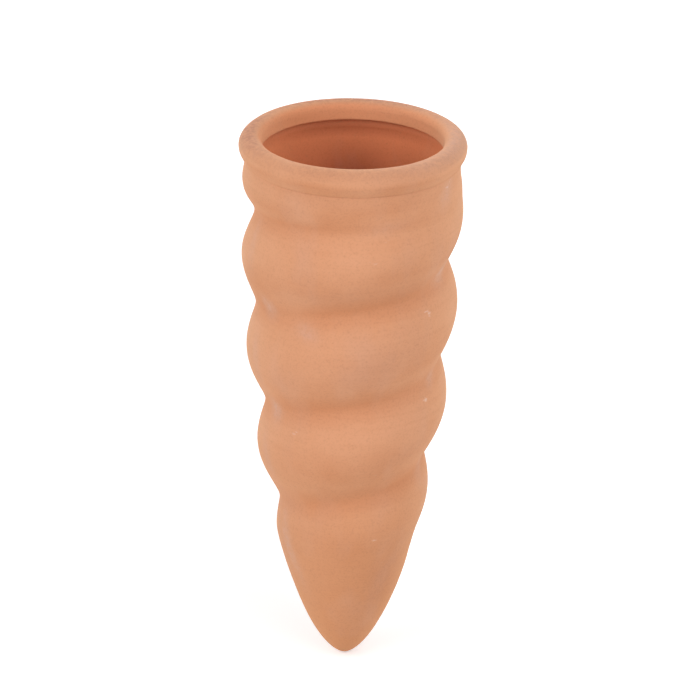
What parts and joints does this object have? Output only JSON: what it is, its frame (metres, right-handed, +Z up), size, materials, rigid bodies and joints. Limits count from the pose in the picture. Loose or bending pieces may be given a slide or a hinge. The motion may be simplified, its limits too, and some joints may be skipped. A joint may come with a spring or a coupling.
{
  "type": "self watering spike",
  "caption": "Hollow unglazed terracotta watering spike wound like a screw, with a closed point and a collared round mouth that takes water or a bottle's neck.",
  "frame": {"origin": "middle of the collar's foot, which is where the potting soil comes to", "axes": "+Z up along the spike's axis, out of the soil; the groove passes +X just under the collar"},
  "size_m": [0.045, 0.045, 0.115],
  "materials": {
    "collar_terracotta": "matt unglazed terracotta, sponged, with a pale bloom",
    "shell_terracotta": "matt unglazed terracotta, cast, with fine specks and scuffs"
  },
  "bodies": {
    "root": {"rim_collar": "collar_terracotta", "spike_shell": "shell_terracotta"}
  },
  "joints": []
}
